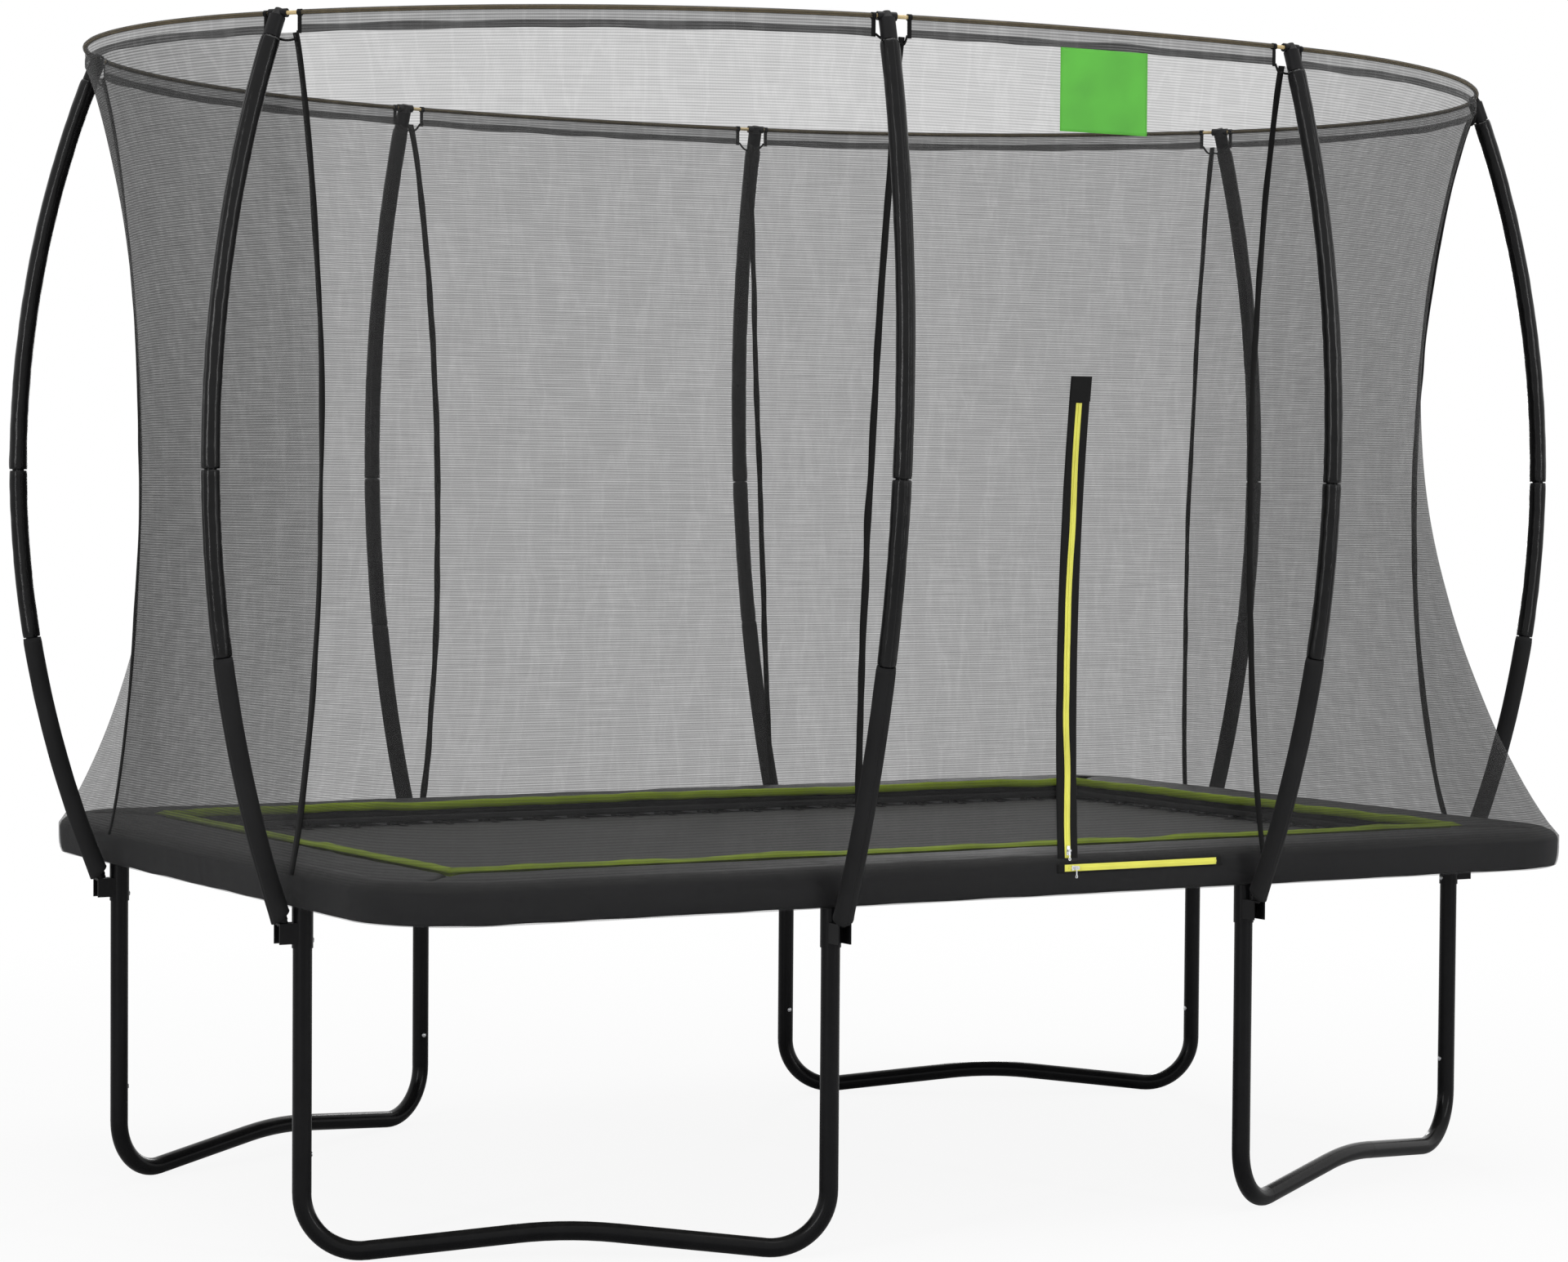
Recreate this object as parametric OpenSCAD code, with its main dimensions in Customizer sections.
// Rectangular garden trampoline with bowed net poles and a zipped safety net.
// Millimetres. The origin is on the ground under the middle of the frame,
// +X runs along the long sides, -Y is the side with the zipped door.

/* [Frame] */
// Overall length of the tube frame
frame_length = 3660; // [3200:10:4200]
// Overall width of the tube frame
frame_width = 2440; // [2200:10:2900]
// Outer diameter of the frame and leg tubes
frame_tube = 48; // [42:1:50]
// Wall of every steel tube
tube_wall = 1.5; // [1.2:0.1:2]
// Bend radius of the frame corners on the tube's centre line
corner_bend = 240; // [180:10:300]
// Height of the frame tube's centre line
rail_height = 905; // [860:5:960]
// Distance from the middle of a long side to its legs
side_leg_offset = 636; // [560:2:700]
// Distance from the middle of a short side to its legs
end_leg_offset = 627; // [560:1:660]
// Distance from a leg to the joint in the rail beside it
rail_joint_inset = 110; // [80:5:150]
// Length of the swaged tube end at each joint
swage_length = 80; // [60:5:100]
// Height of the leg socket's lower rim below the rail's centre line
socket_drop = 132; // [110:2:150]
// Wall of the leg socket
socket_wall = 2.2; // [1.8:0.1:2.6]

/* [Legs] */
// Height of the joint between upright and leg base
leg_joint_height = 232; // [210:2:280]
// Bend radius at the feet on the tube's centre line
foot_bend = 143; // [110:1:160]
// Slope of the leg base from its foot to its raised middle
base_slope = 6; // [4:0.5:8]
// Bend radius over the raised middle of the leg base
hump_bend = 1200; // [800:50:1600]

/* [Poles] */
// Outer diameter of the steel net pole
pole_tube = 32; // [30:1:34]
// Outer diameter of the pole's glossy sleeve
sleeve_diameter = 45; // [40:1:47]
// Outer diameter of the foam round the lower pole
foam_diameter = 52; // [49:1:54]
// Share of the pole's arc that the foam covers
foam_share = 0.3; // [0.2:0.01:0.4]
// Distance from the leg's axis out to the pole's foot
pole_foot_out = 54; // [54:1:64]
// How far the pole bows out from its chord
pole_bow = 217; // [180:1:240]
// Turn of the bow towards the frame corner, poles on the short sides
end_bow_turn = 17; // [0:1:20]
// Turn of the bow towards the frame corner, poles on the long sides
side_bow_turn = 6.5; // [0:0.5:12]
// Length of the stub inside the pole's foot
stub_length = 90; // [60:5:120]

/* [Ring] */
// Height of the ring that holds the net up
ring_height = 3052; // [2800:4:3200]
// Diameter of the glass-fibre ring rods
ring_rod = 10; // [8:0.5:11]
// Ring outside the frame's centre line at the poles of the long sides
side_ring_out = 189; // [120:1:230]
// Ring outside the frame's centre line at the poles of the short sides
end_ring_out = 66; // [40:1:100]
// Ring's side poles closer together than their legs, each
side_ring_in = 24; // [0:1:40]
// Ring's end poles closer together than their legs, each
end_ring_in = 11; // [0:1:30]
// Turn of the ring between the middle of a long side and its pole
side_ring_turn = 8; // [5:0.5:12]

/* [Net] */
// Thickness of the net
net_thickness = 1.2; // [1:0.1:1.6]
// Height of the hem that hangs from the ring
hem_height = 66; // [50:1:90]
// Thickness of the hem
hem_thickness = 2.4; // [2:0.1:3]
// How far the net is drawn in at the poles, half way up
net_waist = 75; // [40:1:110]
// How much the tight net flattens between the poles at its waist
net_tightness = 0.33; // [0:0.01:0.5]
// Width of the binding tapes that run down the net
binding_width = 18; // [14:1:24]

/* [Pad] */
// Outer edge of the pad outside the frame's centre line
pad_out = 36; // [33:1:37]
// Width of the pad over the rails and springs
pad_width = 292; // [270:2:300]
// Thickness of the pad at its edges
pad_thickness = 43; // [30:1:50]
// Height of the pad's crown over its edges
pad_crown = 5; // [2:0.5:8]
// Depth of the pad's skirt below the rail's centre line
skirt_drop = 33; // [20:1:40]
// Width of the coloured trim on the pad's inner edge
trim_width = 32; // [24:1:40]

/* [Mat and springs] */
// Gap between the frame's centre line and the jumping mat
mat_gap = 224; // [210:2:240]
// Corner radius of the jumping mat
mat_corner = 150; // [100:5:200]
// Thickness of the jumping mat
mat_thickness = 2; // [1.5:0.1:3]
// Height of the springs above the rail's centre line
spring_rise = 15.7; // [14:0.1:17]
// Outer diameter of the spring coils
spring_coil = 24; // [20:1:26]
// Wire diameter of the springs
spring_wire = 3.2; // [2.8:0.1:3.6]
// Length of the wound part of a spring
spring_body = 115; // [100:1:125]
// Springs on each long side
side_springs = 20; // [16:2:24]
// Springs on each short side
end_springs = 12; // [8:2:14]
// Wire diameter of the rings along the mat's edge
mat_ring_wire = 5; // [4:0.5:6]

/* [Zip] */
// Place of the upright zip along the front
zip_place = 45; // [-200:5:100]
// Length of the yellow upright zip
zip_upright = 1180; // [900:10:1300]
// Length of the yellow zip along the pad's side
zip_sideways = 470; // [300:5:500]
// Width of the yellow zip tape
zip_width = 18; // [16:1:22]
// Width of the black band under the upright zip
zip_band = 62; // [50:1:70]
// Length of the pull tabs
tab_length = 26; // [20:1:32]

/* [Label] */
// Width of the bare green label
label_width = 265; // [200:5:300]
// Height of the bare green label
label_height = 209; // [150:1:240]

/* [Hidden] */

black = [0.05, 0.05, 0.055];
dark_grey = [0.16, 0.16, 0.17];
steel = [0.72, 0.73, 0.75];
net_grey = [0.22, 0.23, 0.24];
pad_black = [0.09, 0.09, 0.1];
lime = [0.47, 0.55, 0.12];
cream = [0.85, 0.76, 0.56];
yellow = [0.95, 0.9, 0.35];
green = [0.3, 0.66, 0.18];

clear = 0.3;
weld = 1;
round_faces = 40;
bow_faces = 300;
$fn = round_faces;

// Posts are counted round the frame: side in X, side in Y, true on a short side
POSTS = [[-1, 1, true], [-1, -1, true], [-1, -1, false], [1, -1, false],
    [1, -1, true], [1, 1, true], [1, 1, false], [-1, 1, false]];
// Corners: side in X, side in Y
CORNERS = [[-1, 1], [-1, -1], [1, -1], [1, 1]];

half_length = frame_length / 2 - frame_tube / 2;
half_width = frame_width / 2 - frame_tube / 2;
tube_bore = frame_tube - 2 * tube_wall;
swage_outer = tube_bore - 0.4;
swage_bore = swage_outer - 2 * tube_wall;
shoulder = 4;
bend_thinning = 0.4;
bend_reach = 2;

socket_bore = frame_tube + 2 * clear;
socket_outer = socket_bore + 2 * socket_wall;
socket_rim = rail_height - socket_drop;
leg_top = rail_height - frame_tube / 2 - 13;

// Leg base between a short-side leg and a long-side leg
base_dx = side_leg_offset - half_length;
base_dy = half_width - end_leg_offset;
base_span = norm([base_dx, base_dy]);
base_heading = atan2(base_dy, base_dx);
foot_drop = leg_joint_height - foot_bend - frame_tube / 2;
base_run = (base_span / 2 - foot_bend * (1 + sin(base_slope)) - hump_bend * sin(base_slope))
    / cos(base_slope);

screw_head = 13;
screw_shank = 6;
screw_reach = 8;
leg_screw_up = 30;
socket_screw_up = 18;

// Pole brackets and poles
bracket_height = 52;
bracket_width = 38;
bracket_wall = 4;
pole_foot_height = socket_rim + 12 + bracket_height;
pole_bore = pole_tube - 2 * tube_wall;
stub_outer = pole_bore - 0.6;
stub_bore = stub_outer - 2 * tube_wall;
pole_join = 80;
end_foot = [half_length + pole_foot_out, end_leg_offset, pole_foot_height];
side_foot = [side_leg_offset, half_width + pole_foot_out, pole_foot_height];
end_ring = [half_length + end_ring_out, end_leg_offset - end_ring_in, ring_height];
side_ring = [side_leg_offset - side_ring_in, half_width + side_ring_out, ring_height];
cap_drop = 34;
cap_bar = 22;
cap_bar_length = 50;
cap_cup = 30;
cap_tip = 9;
neck_length = 60;

// Ring arcs: the long sides, the short sides and the corners join smoothly
ring_chord = [end_ring[0] - side_ring[0], side_ring[1] - end_ring[1]];
ring_slant = atan2(ring_chord[1], ring_chord[0]);
end_ring_turn = 90 - 2 * ring_slant + side_ring_turn;
side_ring_bend = side_ring[0] / sin(side_ring_turn);
end_ring_bend = end_ring[1] / sin(end_ring_turn);
corner_ring_bend = norm(ring_chord) / 2 / sin(ring_slant - side_ring_turn);
side_ring_middle = [0, side_ring[1] - side_ring_bend * cos(side_ring_turn)];
end_ring_middle = [end_ring[0] - end_ring_bend * cos(end_ring_turn), 0];
corner_ring_middle = [side_ring[0] - corner_ring_bend * sin(side_ring_turn),
    side_ring[1] - corner_ring_bend * cos(side_ring_turn)];
// Each arc: middle, bend radius, first angle, last angle
SIDE_ARC = [side_ring_middle, side_ring_bend, 90 + side_ring_turn, 90 - side_ring_turn];
END_ARC = [end_ring_middle, end_ring_bend, end_ring_turn, -end_ring_turn];
CORNER_ARC = [corner_ring_middle, corner_ring_bend, 90 - side_ring_turn, end_ring_turn];
hem_gap = 55;
hem_bore = ring_rod + 1;
hem_outer = hem_bore + 3;

// Net
skirt_thickness = 6;
net_out = pad_out + 1 + net_thickness / 2;
net_foot = rail_height + 50;
net_top = ring_height - hem_height;
net_rows = 10;
side_columns = 6;
end_columns = 10;
corner_columns = [3, 7, 2];
seam_gap = binding_width / 2 + 1;

// Pad
pad_floor = rail_height + spring_rise + spring_coil / 2 + clear;
pad_top = pad_floor + pad_thickness;
pad_foot = rail_height - skirt_drop;
pad_corner = corner_bend + pad_out;
pad_outer = [half_length + pad_out, half_width + pad_out];
pad_inner = [pad_outer[0] - pad_width, pad_outer[1] - pad_width];
corner_stations = 5;
straight_stations = 9;
corner_step = 22;
mitre_gap = 0.3;
trim_skin = 1.2;
trim_gap = 0.4;

// Mat, its rings and the springs
mat_size = [half_length - mat_gap, half_width - mat_gap];
spring_height = rail_height + spring_rise;
mat_top = spring_height - mat_ring_wire / 2 - 0.2;
mat_ring_bend = 16;
mat_ring_back = 6;
ring_reach = mat_ring_bend - mat_ring_back;
hook_bend = mat_ring_wire / 2 + spring_wire / 2 + 0.4;
rail_skin = sqrt(pow(frame_tube / 2, 2) - pow(spring_rise, 2));
spring_start = ring_reach + (mat_gap - rail_skin - ring_reach - spring_body) / 2;
hook_hole = spring_wire + 1.2;
hook_length = 12;
wire_faces = 16;
side_pitch = 2 * (mat_size[0] - mat_corner - mat_ring_bend) / (side_springs - 1);
end_pitch = 2 * (mat_size[1] - mat_corner - mat_ring_bend) / (end_springs - 1);
SIDE_PLACES = [for (i = [0 : side_springs - 1]) (i - (side_springs - 1) / 2) * side_pitch];
END_PLACES = [for (i = [0 : end_springs - 1]) (i - (end_springs - 1) / 2) * end_pitch];

// Zip: its arc is the net's own profile at the zip's place
zip_arc_top = side_ring_middle[1] + sqrt(pow(side_ring_bend, 2) - pow(zip_place, 2));
zip_low = [zip_place, -(half_width + net_out), net_foot];
zip_high = [zip_place, -zip_arc_top, net_top];
zip_chord = norm(zip_high - zip_low);
zip_sag = net_waist + net_tightness * (zip_arc_top - side_ring[1]) / 2;
zip_lift = net_thickness / 2 + 1.2;
band_skin = 1.5;
tape_skin = 1;
teeth_width = 6;
teeth_height = 2;
zip_patch = 66;
side_zip_height = net_foot - 11;
skirt_face = half_width + net_out + net_thickness / 2;
slider_length = 24;
slider_width = 13;
slider_gap = 0.4;
slider_skin = 1.6;
ear_height = 6;
pin_diameter = 2;
eye_diameter = 4.4;
tab_width = 8;
tab_skin = 1.2;
tab_neck = 3.6;
slider_start = 22;
pin_lift = teeth_height + slider_gap + slider_skin + ear_height / 2 + 1;

echo(ring = side_ring, end_ring, zip_middle = [zip_low, zip_high, zip_sag]);

// ---------- shared shapes ----------

function lerp(a, b, t) = a + (b - a) * t;
function bend_radius(chord, sag) = (chord * chord / 4 + sag * sag) / (2 * sag);
function half_turn(chord, sag) = 2 * atan(2 * sag / chord);
function bow_length(chord, sag) = bend_radius(chord, sag) * half_turn(chord, sag) * PI / 90;

// Disc, or ring where it has a bore
module ring_profile(outer, bore) {
    difference() {
        circle(d = outer);
        if (bore > 0)
            circle(d = bore);
    }
}

// Draws in one corner of the frame what is modelled for the +X +Y corner
module on_side(side) {
    mirror([side[0] < 0 ? 1 : 0, 0, 0])
        mirror([0, side[1] < 0 ? 1 : 0, 0])
            children();
}

// Frame at a post of the +X +Y corner: +X points away from the trampoline
module at_post(on_end) {
    translate(on_end ? [half_length, end_leg_offset, 0] : [side_leg_offset, half_width, 0])
        rotate(on_end ? 0 : 90)
            children();
}

// Frame on a chord from p to q: +Z along it, +X towards the heading
module between(p, q, heading) {
    v = q - p;
    turn = atan2(v[1], v[0]);
    translate(p)
        rotate([0, acos(v[2] / norm(v)), turn])
            rotate(heading - turn)
                children();
}

// Sweeps a profile along an arc that bows out towards +X, from share a to share b
module sweep_bow(chord, sag, a = 0, b = 1) {
    radius = bend_radius(chord, sag);
    half = half_turn(chord, sag);
    translate([sag - radius, 0, chord / 2])
        rotate([90, 0, 0])
            rotate_extrude(angle = (b - a) * 2 * half, start = (2 * a - 1) * half, $fn = bow_faces)
                translate([radius, 0])
                    children();
}

// Frame at one share of the same arc: +Z along the arc, +X away from its middle
module at_bow(chord, sag, share) {
    radius = bend_radius(chord, sag);
    translate([sag - radius, 0, chord / 2])
        rotate([0, (1 - 2 * share) * half_turn(chord, sag), 0])
            translate([radius, 0, 0])
                children();
}

// Hollow bar along +Z that follows steps: ["run", length] or ["turn", radius, degrees towards +X].
// The bends are drawn a hair thinner than the runs and reach a little way into them.
module bent_tube(steps, outer, bore, i = 0) {
    if (i < len(steps)) {
        size = steps[i][1];
        if (steps[i][0] == "run") {
            linear_extrude(size)
                ring_profile(outer, bore);
            translate([0, 0, size])
                bent_tube(steps, outer, bore, i + 1);
        } else {
            turn = steps[i][2];
            middle = turn > 0 ? size : -size;
            reach = bend_reach / size * 180 / PI;
            translate([middle, 0, 0])
                rotate([90, 0, 0])
                    rotate_extrude(angle = abs(turn) + 2 * reach,
                        start = (turn > 0 ? 180 - turn : 0) - reach, $fn = bow_faces)
                        translate([size, 0])
                            ring_profile(outer - bend_thinning, bore > 0 ? bore + bend_thinning : 0,
                                $fn = round_faces);
            translate([middle, 0, 0])
                rotate([0, turn, 0])
                    translate([-middle, 0, 0])
                        bent_tube(steps, outer, bore, i + 1);
        }
    }
}

// Swaged tube end that stands up from z = 0, carried by a ring inside the wider tube's end
module swage() {
    rotate_extrude()
        polygon([[swage_bore / 2, -shoulder], [(tube_bore + frame_tube) / 4, -shoulder],
            [(tube_bore + frame_tube) / 4, -0.1], [swage_outer / 2, -0.1],
            [swage_outer / 2, swage_length], [swage_bore / 2, swage_length]]);
}

// Closed solid through rings of points, each ring with the same count.
// A thin sheet has its two faces in the two halves of the ring, so that both split the same way,
// and its ends close with rungs between the halves. Other ends fan out from the ring's last point.
module skin(rings, thin) {
    count = len(rings[0]);
    last = len(rings) - 1;
    points = [for (ring = rings) for (p = ring) p];
    wall = [for (r = [0 : last - 1]) for (i = [0 : count - 1])
        let (a = r * count + i, b = r * count + (i + 1) % count)
        each (2 * i < count ? [[a, b, b + count], [a, b + count, a + count]]
            : [[a, b, a + count], [b, b + count, a + count]])];
    rungs = [for (i = [0 : count / 2 - 2])
        each [[i, i + 1, count - 2 - i], [i, count - 2 - i, count - 1 - i]]];
    fan = [for (i = [0 : count - 3]) [count - 1, i, i + 1]];
    ends = thin ? rungs : fan;
    foot = [for (t = ends) [t[0], t[2], t[1]]];
    head = [for (t = ends) [for (i = t) last * count + i]];
    polyhedron(points, concat(foot, wall, head));
}

// ---------- frame and legs ----------

// Holes in the rails' inner wall for the spring hooks of one side
module hook_holes(places, rail_at, from, to) {
    for (place = places)
        if (place > from && place < to)
            translate([place, rail_at - frame_tube, spring_height])
                rotate([-90, 0, 0])
                    cylinder(d = hook_hole, h = frame_tube);
}

function corner_path() = [["run", half_length - corner_bend - side_leg_offset + rail_joint_inset],
    ["turn", corner_bend, 90],
    ["run", half_width - corner_bend - end_leg_offset + rail_joint_inset]];

module corner_bar(outer, bore = 0) {
    translate([side_leg_offset - rail_joint_inset, half_width, rail_height])
        rotate([-90, 0, 0])
            rotate([0, 90, 0])
                bent_tube(corner_path(), outer, bore);
}

module frame_corner(side) {
    color(black)
        on_side(side)
            difference() {
                union() {
                    corner_bar(frame_tube);
                    for (on_end = [true, false])
                        at_post(on_end)
                            translate([0, 0, socket_rim])
                                cylinder(d = socket_outer, h = socket_drop);
                }
                corner_bar(tube_bore);
                for (on_end = [true, false])
                    at_post(on_end) {
                        translate([0, 0, socket_rim - weld])
                            cylinder(d = socket_bore, h = leg_top + clear - socket_rim + weld);
                        side_hole(socket_rim + socket_screw_up);
                    }
                hook_holes(SIDE_PLACES, half_width, side_leg_offset - rail_joint_inset, half_length);
                mirror([1, -1, 0])
                    hook_holes(END_PLACES, half_length, end_leg_offset - rail_joint_inset, half_width);
            }
}

// Straight tube along X with a swaged end on each side
module straight_rail(half_run, places, rail_at) {
    difference() {
        translate([0, rail_at, rail_height])
            rotate([0, 90, 0])
                difference() {
                    union() {
                        cylinder(d = frame_tube, h = 2 * half_run, center = true);
                        cylinder(d = swage_outer, h = 2 * (half_run + swage_length), center = true);
                    }
                    cylinder(d = tube_bore, h = 2 * (half_run - shoulder), center = true);
                    cylinder(d = swage_bore, h = 2 * (half_run + swage_length + weld), center = true);
                }
        hook_holes(places, rail_at, -half_run - swage_length, half_run + swage_length);
    }
}

module side_rails() {
    color(black)
        for (side = [1, -1])
            on_side([1, side])
                straight_rail(side_leg_offset - rail_joint_inset, SIDE_PLACES, half_width);
}

module end_rails() {
    color(black)
        for (side = [1, -1])
            on_side([side, 1])
                mirror([1, -1, 0])
                    straight_rail(end_leg_offset - rail_joint_inset, END_PLACES, half_length);
}

// Screw hole through one wall of a post, on the side that faces the trampoline's middle
module side_hole(height) {
    translate([0, 0, height])
        rotate([0, -90, 0])
            cylinder(d = screw_shank + 2 * clear, h = frame_tube);
}

module leg_upright(post) {
    color(black)
        on_side(post)
            at_post(post[2])
                difference() {
                    translate([0, 0, leg_joint_height])
                        cylinder(d = frame_tube, h = leg_top - leg_joint_height);
                    translate([0, 0, leg_joint_height - weld])
                        cylinder(d = tube_bore, h = leg_top - leg_joint_height + 2 * weld);
                    side_hole(leg_joint_height + leg_screw_up);
                    side_hole(socket_rim + socket_screw_up);
                }
}

base_path = [["run", foot_drop], ["turn", foot_bend, 90 + base_slope],
    ["run", base_run], ["turn", hump_bend, -2 * base_slope], ["run", base_run],
    ["turn", foot_bend, 90 + base_slope], ["run", foot_drop]];

// W-shaped tube across one corner, with a swaged end up into each upright
module leg_base(side) {
    color(black)
        on_side(side) {
            translate([half_length, end_leg_offset, leg_joint_height])
                rotate(base_heading)
                    rotate([180, 0, 0])
                        bent_tube(base_path, frame_tube, tube_bore);
            for (on_end = [true, false])
                at_post(on_end)
                    difference() {
                        translate([0, 0, leg_joint_height])
                            swage();
                        side_hole(leg_joint_height + leg_screw_up);
                    }
        }
}

// Pan-head screw along -X, its head's seat at x = 0
module pan_screw() {
    rotate([0, -90, 0]) {
        translate([0, 0, -screw_reach])
            cylinder(d = screw_shank, h = screw_reach);
        intersection() {
            cylinder(d = screw_head, h = 4);
            translate([0, 0, 3.6 - screw_head])
                sphere(d = 2 * screw_head);
        }
    }
}

module leg_screws() {
    color(steel)
        for (post = POSTS)
            on_side(post)
                at_post(post[2]) {
                    translate([-frame_tube / 2 - 0.1, 0, leg_joint_height + leg_screw_up])
                        pan_screw();
                    translate([-socket_outer / 2 - 0.1, 0, socket_rim + socket_screw_up])
                        pan_screw();
                }
}

// ---------- poles ----------

module along_pole(on_end) {
    if (on_end)
        between(end_foot, end_ring, end_bow_turn)
            children();
    else
        between(side_foot, side_ring, 90 - side_bow_turn)
            children();
}

function pole_chord(on_end) = on_end ? norm(end_ring - end_foot) : norm(side_ring - side_foot);
function pole_length(on_end) = bow_length(pole_chord(on_end), pole_bow);
function pole_share(on_end, length) = length / pole_length(on_end);

// A pole leans at its foot, so its square end starts a little above the bracket
function foot_gap(on_end) = stub_outer / 2 * tan(half_turn(pole_chord(on_end), pole_bow));

// Profile swept along a pole from share a to share b
module pole_part(post, a, b) {
    on_side(post)
        along_pole(post[2])
            sweep_bow(pole_chord(post[2]), pole_bow, a, b)
                children();
}

// Folded steel bracket beside the socket, with a stub for the pole
module pole_bracket(post) {
    on_side(post) {
        at_post(post[2])
            difference() {
                translate([0, -bracket_width / 2, pole_foot_height - bracket_height])
                    cube([pole_foot_out + stub_outer / 2, bracket_width, bracket_height - 1]);
                translate([0, 0, socket_rim - weld])
                    cylinder(d = socket_outer + 0.2, h = socket_drop);
                translate([socket_outer / 2 + bracket_wall, bracket_wall - bracket_width / 2,
                    pole_foot_height - bracket_height - weld])
                    cube([frame_tube * 2, bracket_width - 2 * bracket_wall, bracket_height - bracket_wall]);
            }
    }
    pole_part(post, -pole_share(post[2], 3), pole_share(post[2], stub_length))
        circle(d = stub_outer);
}

module pole_brackets() {
    color(black)
        for (post = POSTS)
            pole_bracket(post);
}

module pole_lower(post) {
    color(black)
        pole_part(post, pole_share(post[2], foot_gap(post[2])), 0.5)
            ring_profile(pole_tube, pole_bore);
}

// Upper half of a pole: its swaged end reaches down into the lower half, carried by a ring inside
module pole_upper(post) {
    on_end = post[2];
    color(black) {
        pole_part(post, 0.5 - pole_share(on_end, pole_join), 0.5 + pole_share(on_end, shoulder / 2))
            ring_profile(stub_outer, stub_bore);
        pole_part(post, 0.5, 1 - pole_share(on_end, cap_drop))
            ring_profile(pole_tube, pole_bore);
        on_side(post)
            along_pole(on_end)
                at_bow(pole_chord(on_end), pole_bow, 0.5)
                    translate([0, 0, shoulder / 4])
                        linear_extrude(shoulder)
                            ring_profile((pole_tube + pole_bore) / 2, (stub_outer + stub_bore) / 2);
    }
}

module pole_foams() {
    color(dark_grey)
        for (post = POSTS)
            pole_part(post, pole_share(post[2], foot_gap(post[2]) + 1), foam_share)
                ring_profile(foam_diameter, pole_tube + 2 * clear);
}

module pole_sleeves() {
    color(black)
        for (post = POSTS) {
            seam = pole_share(post[2], 1.5);
            pole_part(post, foam_share + seam, 0.5 - seam)
                ring_profile(sleeve_diameter, pole_tube + 2 * clear);
            pole_part(post, 0.5 + seam, 1 - pole_share(post[2], neck_length + cap_drop))
                ring_profile(sleeve_diameter, pole_tube + 2 * clear);
        }
}

// Frame at a ring joint: +X along the ring
module at_ring(on_end) {
    translate(on_end ? end_ring : side_ring)
        rotate(on_end ? 90 + end_ring_turn : -side_ring_turn)
            children();
}

// Moulded tee on the pole's top that holds the ring rods
module pole_cap(post) {
    on_end = post[2];
    chord = pole_chord(on_end);
    difference() {
        union() {
            pole_part(post, 1 - pole_share(on_end, cap_drop + cap_cup), 1 - pole_share(on_end, cap_tip))
                circle(d = pole_tube + 9);
            on_side(post)
                at_ring(on_end)
                    rotate([0, 90, 0])
                        cylinder(d = cap_bar, h = cap_bar_length, center = true);
            on_side(post)
                along_pole(on_end)
                    at_bow(chord, pole_bow, 1)
                        translate([0, 0, -cap_bar / 2])
                            cylinder(d1 = pole_tube + 4, d2 = cap_bar, h = cap_bar);
        }
        pole_part(post, 0.9, 1 - pole_share(on_end, cap_drop - 1))
            circle(d = pole_tube + 2 * clear);
        on_side(post)
            at_ring(on_end)
                rotate([0, 90, 0])
                    cylinder(d = ring_rod + 1, h = 4 * cap_bar_length, center = true);
    }
}

module pole_caps() {
    color(black)
        for (post = POSTS)
            pole_cap(post);
}

// ---------- ring, hems and net ----------

// Profile turned along one ring arc, with a gap left at both ends
module along_arc(arc, gap) {
    spare = gap / arc[1] * 180 / PI;
    translate([arc[0][0], arc[0][1], 0])
        rotate_extrude(angle = arc[2] - arc[3] - 2 * spare, start = arc[3] + spare, $fn = bow_faces)
            translate([arc[1], 0])
                children();
}

// The eight arcs of the ring
module each_arc(gap) {
    for (side = [1, -1]) {
        on_side([1, side])
            along_arc(SIDE_ARC, gap)
                children();
        on_side([side, 1])
            along_arc(END_ARC, gap)
                children();
    }
    for (side = CORNERS)
        on_side(side)
            along_arc(CORNER_ARC, gap)
                children();
}

module ring_rods() {
    color(cream)
        each_arc(0.5)
            translate([0, ring_height])
                circle(d = ring_rod);
}

module net_hems() {
    color(dark_grey)
        each_arc(hem_gap)
            translate([0, ring_height])
                difference() {
                    union() {
                        circle(d = hem_outer);
                        translate([-hem_thickness / 2, -hem_height])
                            square([hem_thickness, hem_height]);
                    }
                    circle(d = hem_bore);
                }
}

function arc_point(arc, t) = let (a = lerp(arc[2], arc[3], t))
    [arc[0][0] + arc[1] * cos(a), arc[0][1] + arc[1] * sin(a)];

// Net's foot round the pad, from a long-side post to a short-side post
corner_run = half_length - corner_bend - side_leg_offset;
corner_turn = (corner_bend + net_out) * PI / 2;
corner_rest = half_width - corner_bend - end_leg_offset;
corner_all = corner_run + corner_turn + corner_rest;
function corner_foot(t) = let (s = t * corner_all)
    s < corner_run ? [side_leg_offset + s, half_width + net_out]
    : s > corner_run + corner_turn ? [half_length + net_out, end_leg_offset + corner_all - s]
    : let (a = 90 - 90 * (s - corner_run) / corner_turn)
    [half_length - corner_bend, half_width - corner_bend] + (corner_bend + net_out) * [cos(a), sin(a)];

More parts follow.
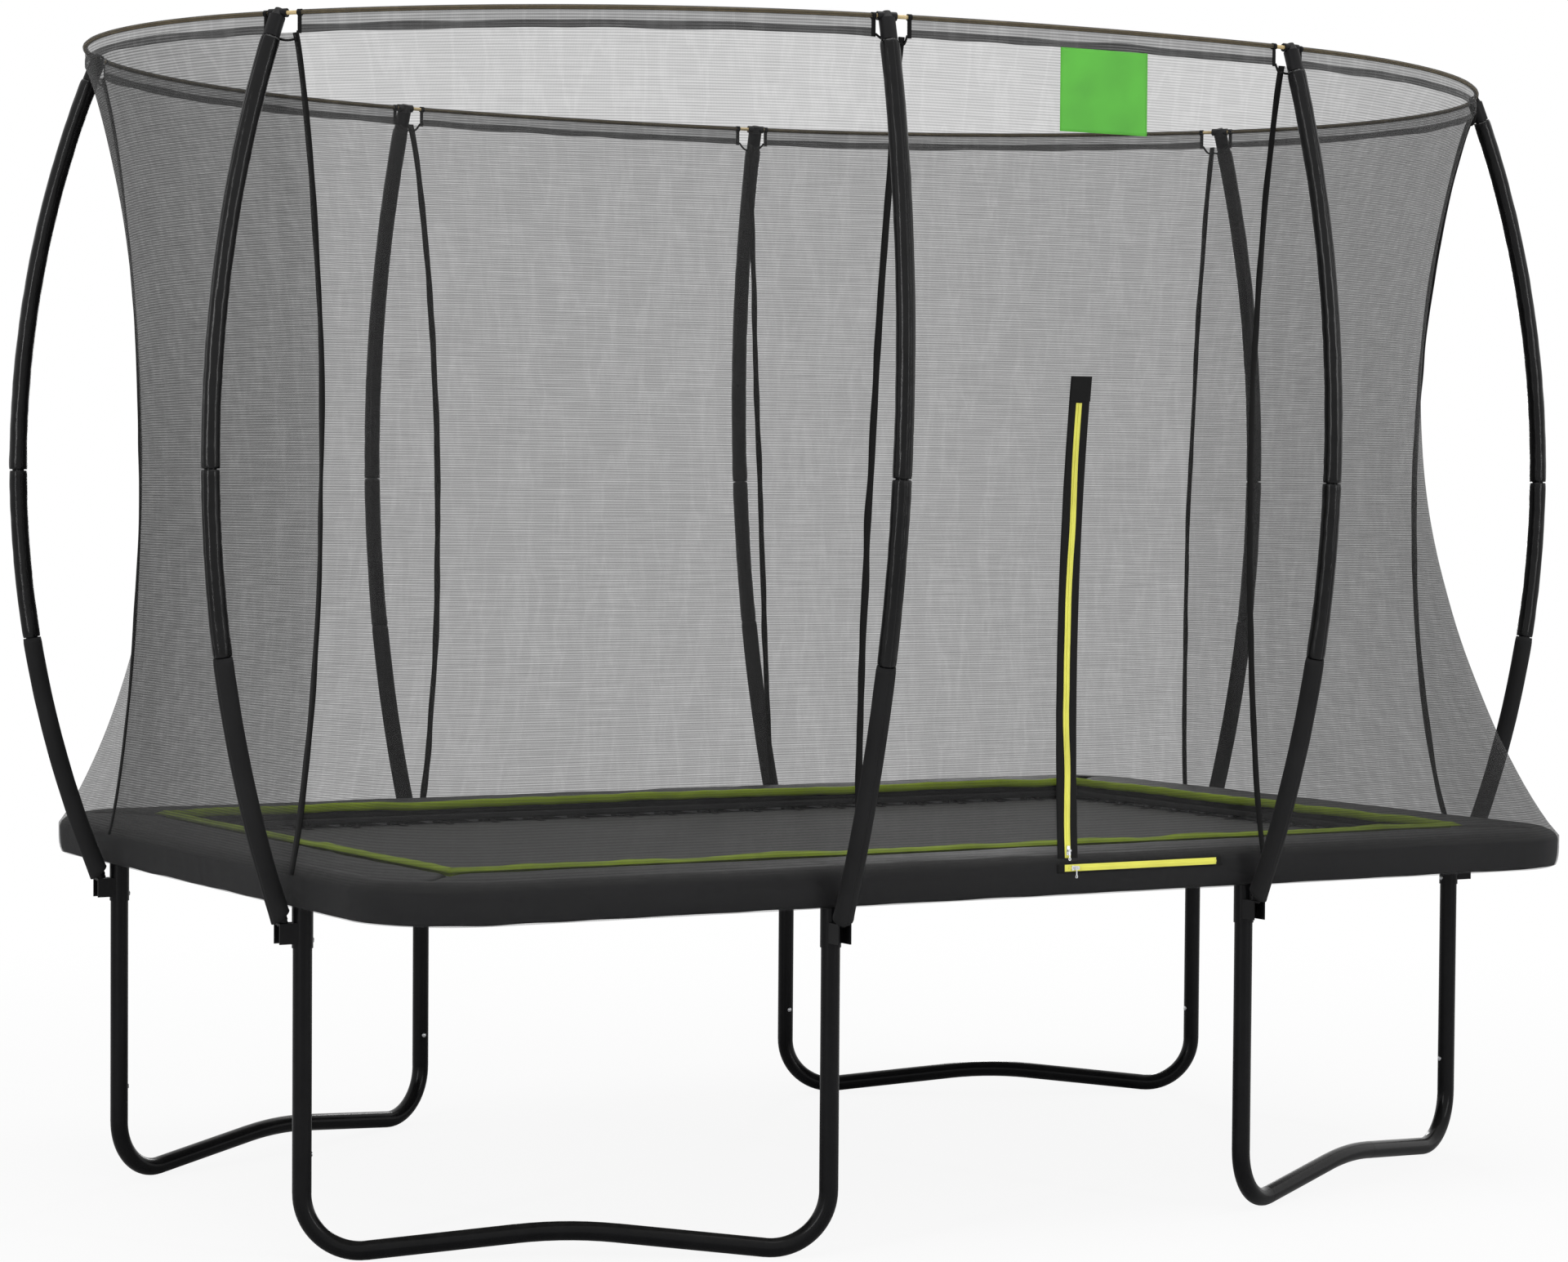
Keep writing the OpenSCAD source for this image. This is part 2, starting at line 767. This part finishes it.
// kind: 0 long side, 1 short side, 2 corner
function foot_line(kind, t) =
    kind == 0 ? [lerp(-side_leg_offset, side_leg_offset, t), half_width + net_out]
    : kind == 1 ? [half_length + net_out, lerp(end_leg_offset, -end_leg_offset, t)]
    : corner_foot(t);
function head_line(kind, t) = arc_point([SIDE_ARC, END_ARC, CORNER_ARC][kind], t);
function facing(kind, t) = kind == 0 ? 90 : kind == 1 ? 0 : 90 - 90 * t;
function half_way(kind, t) = (foot_line(kind, t) + head_line(kind, t)) / 2;
function drawn_in(kind, t) = -net_waist * [cos(facing(kind, t)), sin(facing(kind, t))]
    + net_tightness * (lerp(half_way(kind, 0), half_way(kind, 1), t) - half_way(kind, t));
function net_point(kind, t, u, off) = let (face = facing(kind, t),
    p = lerp(foot_line(kind, t), head_line(kind, t), u) + 4 * u * (1 - u) * drawn_in(kind, t)
        + off * [cos(face), sin(face)])
    [p[0], p[1], lerp(net_foot, net_top, u)];
function panel_length(kind) = norm(half_way(kind, 1) - half_way(kind, 0));

function even(columns) = [for (c = [0 : columns]) c / columns];

// Shares of a corner panel's length, closer together where its foot bends
bend_start = corner_run / corner_all;
bend_end = 1 - corner_rest / corner_all;
corner_shares = concat(
    [for (s = even(corner_columns[0])) s * bend_start],
    [for (c = [1 : corner_columns[1]]) lerp(bend_start, bend_end, c / corner_columns[1])],
    [for (c = [1 : corner_columns[2]]) lerp(bend_end, 1, c / corner_columns[2])]);

// One panel of the net between two bindings, seamed gap at both edges
module net_panel(kind, shares) {
    gap = seam_gap / panel_length(kind);
    skin([for (s = shares)
        let (t = lerp(gap, 1 - gap, s))
        concat(
            [for (r = [0 : net_rows]) net_point(kind, t, r / net_rows, -net_thickness / 2)],
            [for (r = [net_rows : -1 : 0]) net_point(kind, t, r / net_rows, net_thickness / 2)])], true);
}

module net_front() {
    color(net_grey)
        on_side([1, -1])
            net_panel(0, even(side_columns));
}

module net_back() {
    color(net_grey)
        net_panel(0, even(side_columns));
}

module net_ends() {
    color(net_grey)
        for (side = [1, -1])
            on_side([side, 1])
                net_panel(1, even(end_columns));
}

module net_corners() {
    color(net_grey)
        for (side = CORNERS)
            on_side(side)
                net_panel(2, corner_shares);
}

// Binding tape down the net at each post
module net_binding(post) {
    on_end = post[2];
    foot = on_end ? [half_length + net_out, end_leg_offset, net_foot]
        : [side_leg_offset, half_width + net_out, net_foot];
    ring = on_end ? end_ring : side_ring;
    head = [ring[0], ring[1], net_top];
    on_side(post)
        between(foot, head, on_end ? 180 : -90)
            sweep_bow(norm(head - foot), net_waist)
                square([hem_thickness, binding_width], center = true);
}

module net_bindings() {
    color(black)
        for (post = POSTS)
            net_binding(post);
}

// Rounded rectangle that lies a distance outside the frame's centre line
module outline(out) {
    radius = corner_bend + out;
    square([2 * (half_length + out - radius), 2 * (half_width + out)], center = true);
    square([2 * (half_length + out), 2 * (half_width + out - radius)], center = true);
    for (x = [-1, 1])
        for (y = [-1, 1])
            translate([x * (half_length - corner_bend), y * (half_width - corner_bend)])
                circle(r = radius, $fn = bow_faces);
}

// Lower edge of the net, down the pad's side and tucked under it
module net_skirt() {
    lip = 9;
    outer = net_out + net_thickness / 2;
    color(dark_grey)
        difference() {
            translate([0, 0, pad_foot - clear - net_thickness])
                linear_extrude(net_foot - pad_foot + clear + net_thickness)
                    outline(outer);
            translate([0, 0, pad_foot - clear])
                linear_extrude(net_foot)
                    outline(outer - net_thickness);
            translate([0, 0, pad_foot - net_foot])
                linear_extrude(net_foot)
                    outline(outer - lip);
        }
}

// ---------- pad ----------

// Stations of a pad: [outer point, inner point], from mitre to mitre on a side that faces +Y
function pad_stations(outer, inner) = concat(
    [for (i = [0 : corner_stations]) let (a = 45 + 45 * i / corner_stations)
        [[outer[0] - pad_corner * (1 - cos(a)), outer[1] - pad_corner * (1 - sin(a))],
            [inner[0] - i * corner_step, inner[1]]]],
    [for (i = [1 : straight_stations - 1]) let (s = 1 - 2 * i / straight_stations)
        [[s * (outer[0] - pad_corner), outer[1]],
            [s * (inner[0] - corner_stations * corner_step), inner[1]]]],
    [for (i = [corner_stations : -1 : 0]) let (a = 45 + 45 * i / corner_stations)
        [[pad_corner * (1 - cos(a)) - outer[0], outer[1] - pad_corner * (1 - sin(a))],
            [i * corner_step - inner[0], inner[1]]]]);

// Section point: share of the width from the inner edge, millimetres outward, height
function section_point(station, s) = let (across = station[0] - station[1],
    p = station[1] + across * s[0] + across / norm(across) * s[1])
    [p[0], p[1], s[2]];
function section(station, points) = [for (s = points) section_point(station, s)];

PAD_SECTION = [[0, 6, pad_floor], [0, 0, pad_floor + 8], [0, 0, pad_top - 12], [0, 6, pad_top - 4],
    [0, 20, pad_top], [0.3, 0, pad_top + 0.8 * pad_crown], [0.5, 0, pad_top + pad_crown],
    [0.75, 0, pad_top + 0.7 * pad_crown], [1, -26, pad_top - 2], [1, -9, pad_top - 9],
    [1, 0, pad_top - 26], [1, 0, pad_foot], [1, -skirt_thickness, pad_foot],
    [1, -skirt_thickness, pad_floor]];
trim_rise = 0.8 * pad_crown * (trim_width - 20) / (0.3 * pad_width - 20);
TRIM_SECTION = [[0, -trim_gap - trim_skin, pad_floor + 8], [0, -trim_gap - trim_skin, pad_top - 11.5],
    [0, 5, pad_top - 4 + trim_gap + trim_skin], [0, 20, pad_top + trim_gap + trim_skin],
    [0, trim_width, pad_top + trim_rise + trim_gap + trim_skin],
    [0, trim_width, pad_top + trim_rise + trim_gap], [0, 20, pad_top + trim_gap],
    [0, 5.5, pad_top - 4 + trim_gap], [0, -trim_gap, pad_top - 12 + trim_gap],
    [0, -trim_gap, pad_floor + 8]];

module pad_piece(outer, inner, points, thin) {
    skin([for (station = pad_stations(outer, inner)) section(station, points)], thin);
}

module on_long_sides(points, thin) {
    for (turn = [0, 180])
        rotate(turn)
            pad_piece(pad_outer - [mitre_gap, 0], pad_inner - [mitre_gap, 0], points, thin);
}

module on_short_sides(points, thin) {
    for (turn = [90, 270])
        rotate(turn)
            pad_piece([pad_outer[1] - mitre_gap, pad_outer[0]],
                [pad_inner[1] - mitre_gap, pad_inner[0]], points, thin);
}

module pad_sides() {
    color(pad_black)
        on_long_sides(PAD_SECTION, false);
}

module pad_ends() {
    color(pad_black)
        on_short_sides(PAD_SECTION, false);
}

module pad_trim() {
    color(lime) {
        on_long_sides(TRIM_SECTION, true);
        on_short_sides(TRIM_SECTION, true);
    }
}

// ---------- mat and springs ----------

module mat_outline(inset) {
    radius = mat_corner - inset;
    middle = mat_size - [mat_corner, mat_corner];
    square([2 * middle[0], 2 * (middle[1] + radius)], center = true);
    square([2 * (middle[0] + radius), 2 * middle[1]], center = true);
    for (x = [-1, 1])
        for (y = [-1, 1])
            translate([x * middle[0], y * middle[1]])
                circle(r = radius);
}

// Woven mat with a doubled hem
module mat() {
    hem = 45;
    color(black)
        translate([0, 0, mat_top - mat_thickness]) {
            linear_extrude(mat_thickness)
                mat_outline(0);
            translate([0, 0, -mat_thickness])
                linear_extrude(mat_thickness)
                    difference() {
                        mat_outline(0);
                        mat_outline(hem);
                    }
        }
}

// Frame at each spring place: origin on the mat's edge, +X towards the rail
module each_spring() {
    for (turn = [0, 180])
        rotate(turn) {
            for (place = SIDE_PLACES)
                translate([place, mat_size[1], spring_height])
                    rotate(90)
                        children();
            for (place = END_PLACES)
                translate([mat_size[0], place, spring_height])
                    children();
        }
}

module mat_rings() {
    color(steel)
        each_spring()
            translate([-mat_ring_back, 0, 0])
                rotate_extrude()
                    translate([mat_ring_bend, 0])
                        circle(d = mat_ring_wire, $fn = wire_faces);
}

// Extension spring: wound body, a hook round the mat's ring, a straight end in the rail
module spring() {
    wound_end = spring_start + spring_body;
    rail_hook = mat_gap - rail_skin + hook_length;
    bore = spring_coil / 2 - spring_wire;
    translate([spring_start, 0, 0])
        rotate([0, 90, 0])
            rotate_extrude()
                polygon([[spring_wire / 2, 0], [spring_coil / 2, 0], [spring_coil / 2, spring_body],
                    [spring_wire / 2, spring_body], [spring_wire / 2, spring_body - spring_wire],
                    [bore, spring_body - spring_wire], [bore, spring_wire],
                    [spring_wire / 2, spring_wire]]);
    translate([wound_end - spring_wire, 0, 0])
        rotate([0, 90, 0])
            cylinder(d = spring_wire + 0.2, h = rail_hook - wound_end + spring_wire);
    translate([ring_reach, 0, 0])
        rotate([90, 0, 0])
            rotate_extrude(angle = 180, start = 90)
                translate([hook_bend, 0])
                    circle(d = spring_wire, $fn = wire_faces);
    translate([ring_reach, 0, hook_bend])
        rotate([0, 90, 0])
            cylinder(d = spring_wire, h = spring_start - ring_reach + weld, $fn = wire_faces);
}

module springs() {
    color(steel)
        each_spring()
            spring();
}

// ---------- zip ----------

module along_zip() {
    between(zip_low, zip_high, 90)
        children();
}

function zip_share(length) = length / bow_length(zip_chord, zip_sag);

// Strip on the outer face of the upright zip: lift above the net, skin, width, ends
module zip_strip(lift, thickness, width, from, to) {
    along_zip()
        sweep_bow(zip_chord, zip_sag, zip_share(from), zip_share(to))
            translate([-lift - thickness / 2, 0])
                square([thickness, width], center = true);
}

// Strip on the outer face of the pad's side
module side_strip(lift, thickness, height, from, to) {
    translate([zip_place + from, -skirt_face - lift - thickness, side_zip_height - height / 2])
        cube([to - from, thickness, height]);
}

module zip_band_piece() {
    color(black) {
        zip_strip(zip_lift, band_skin, zip_band, 14, zip_upright + zip_patch);
        zip_strip(zip_lift + band_skin, 1, zip_band + 4, zip_upright, zip_upright + zip_patch);
        side_strip(clear, band_skin, zip_width + 8, -zip_band / 2, zip_sideways + 20);
    }
}

module zip_tape() {
    lift = zip_lift + band_skin;
    side_lift = clear + band_skin;
    color(yellow) {
        zip_strip(lift, tape_skin, zip_width, 14, zip_upright - 1);
        zip_strip(lift + tape_skin, teeth_height, teeth_width, 14, zip_upright - 1);
        side_strip(side_lift, tape_skin, zip_width, -zip_width / 2, zip_sideways);
        side_strip(side_lift + tape_skin, teeth_height, teeth_width, 0, zip_sideways);
    }
}

// Slider with its channel over the teeth; +X away from the net, +Z along the zip
module slider(pin_turn) {
    inner = teeth_width + 2 * slider_gap;
    plate_foot = teeth_height + slider_gap;
    rotate([0, 90, 0])
        difference() {
            union() {
                translate([0, 0, slider_gap])
                    linear_extrude(plate_foot + slider_skin - slider_gap)
                        polygon([[-slider_length / 2, -slider_width / 3],
                            [slider_length / 2, -slider_width / 2],
                            [slider_length / 2, slider_width / 2],
                            [-slider_length / 2, slider_width / 3]]);
                rotate(pin_turn)
                    for (y = [-1, 1])
                        translate([-2.5, y * (eye_diameter / 2 + 1.5) - 0.8, plate_foot])
                            cube([5, 1.6, slider_skin + ear_height]);
            }
            translate([-slider_length, -inner / 2, -1])
                cube([2 * slider_length, inner, plate_foot + 1]);
        }
    translate([pin_lift, 0, 0])
        rotate([pin_turn, 0, 0])
            rotate([90, 0, 0])
                cylinder(d = pin_diameter, h = eye_diameter + 4, center = true);
}

// Pull tab with an eye round the slider's pin, hanging down -Z
module pull_tab() {
    difference() {
        union() {
            rotate([90, 0, 0])
                cylinder(d = eye_diameter, h = eye_diameter, center = true);
            translate([-tab_skin / 2, -tab_neck / 2, tab_width / 2 - tab_length])
                cube([tab_skin, tab_neck, tab_length - tab_width / 2 - pin_diameter]);
            translate([0, 0, tab_width / 2 - tab_length])
                rotate([0, 90, 0])
                    cylinder(d = tab_width, h = tab_skin, center = true);
        }
        rotate([90, 0, 0])
            cylinder(d = pin_diameter + 0.16, h = tab_width, center = true);
        translate([0, 0, tab_width / 2 - tab_length])
            rotate([0, 90, 0])
                cylinder(d = tab_width - 4, h = tab_width, center = true);
    }
}

// Frame of the upright zip's slider, at the foot of the zip
module at_slider_up() {
    along_zip()
        at_bow(zip_chord, zip_sag, zip_share(slider_start + slider_length / 2))
            rotate(180)
                translate([zip_lift + band_skin + tape_skin, 0, 0])
                    children();
}

// Frame of the side zip's slider, at the corner of the zip
module at_slider_side() {
    translate([zip_place + slider_start, -skirt_face - clear - band_skin - tape_skin, side_zip_height])
        children();
}

module zip_slider_up() {
    color(steel)
        at_slider_up()
            slider(0);
}

module zip_slider_side() {
    color(steel)
        at_slider_side()
            rotate([90, 0, 0])
                rotate([0, -90, 0])
                    rotate([180, 0, 0])
                        slider(90);
}

module pull_tab_up() {
    color(steel)
        at_slider_up()
            translate([pin_lift, 0, 0])
                pull_tab();
}

module pull_tab_side() {
    color(steel)
        at_slider_side()
            translate([0, -pin_lift, 0])
                rotate(90)
                    pull_tab();
}

// Bare label that hangs in front of the hem, bent to the ring
module label() {
    face = side_ring_bend + hem_thickness / 2 + clear;
    turn = label_width / face * 180 / PI;
    color(green)
        on_side([1, -1])
            translate([side_ring_middle[0], side_ring_middle[1], 0])
                rotate_extrude(angle = turn, start = 90 - turn / 2, $fn = bow_faces)
                    translate([face, ring_height - 47 - label_height])
                        square([1.2, label_height]);
}

frame_corner(CORNERS[0]);  // frame_corner_1
frame_corner(CORNERS[1]);  // frame_corner_2
frame_corner(CORNERS[2]);  // frame_corner_3
frame_corner(CORNERS[3]);  // frame_corner_4
side_rails();
end_rails();
leg_upright(POSTS[0]);  // leg_upright_1
leg_upright(POSTS[1]);  // leg_upright_2
leg_upright(POSTS[2]);  // leg_upright_3
leg_upright(POSTS[3]);  // leg_upright_4
leg_upright(POSTS[4]);  // leg_upright_5
leg_upright(POSTS[5]);  // leg_upright_6
leg_upright(POSTS[6]);  // leg_upright_7
leg_upright(POSTS[7]);  // leg_upright_8
leg_base(CORNERS[0]);  // leg_base_1
leg_base(CORNERS[1]);  // leg_base_2
leg_base(CORNERS[2]);  // leg_base_3
leg_base(CORNERS[3]);  // leg_base_4
leg_screws();
pole_brackets();
pole_lower(POSTS[0]);  // pole_lower_1
pole_lower(POSTS[1]);  // pole_lower_2
pole_lower(POSTS[2]);  // pole_lower_3
pole_lower(POSTS[3]);  // pole_lower_4
pole_lower(POSTS[4]);  // pole_lower_5
pole_lower(POSTS[5]);  // pole_lower_6
pole_lower(POSTS[6]);  // pole_lower_7
pole_lower(POSTS[7]);  // pole_lower_8
pole_upper(POSTS[0]);  // pole_upper_1
pole_upper(POSTS[1]);  // pole_upper_2
pole_upper(POSTS[2]);  // pole_upper_3
pole_upper(POSTS[3]);  // pole_upper_4
pole_upper(POSTS[4]);  // pole_upper_5
pole_upper(POSTS[5]);  // pole_upper_6
pole_upper(POSTS[6]);  // pole_upper_7
pole_upper(POSTS[7]);  // pole_upper_8
pole_foams();
pole_sleeves();
pole_caps();
ring_rods();
net_hems();
net_bindings();
net_front();
net_back();
net_ends();
net_corners();
net_skirt();
pad_sides();
pad_ends();
pad_trim();
mat();
mat_rings();
springs();
zip_band_piece();  // zip_band
zip_tape();
zip_slider_up();
zip_slider_side();
pull_tab_up();
pull_tab_side();
label();
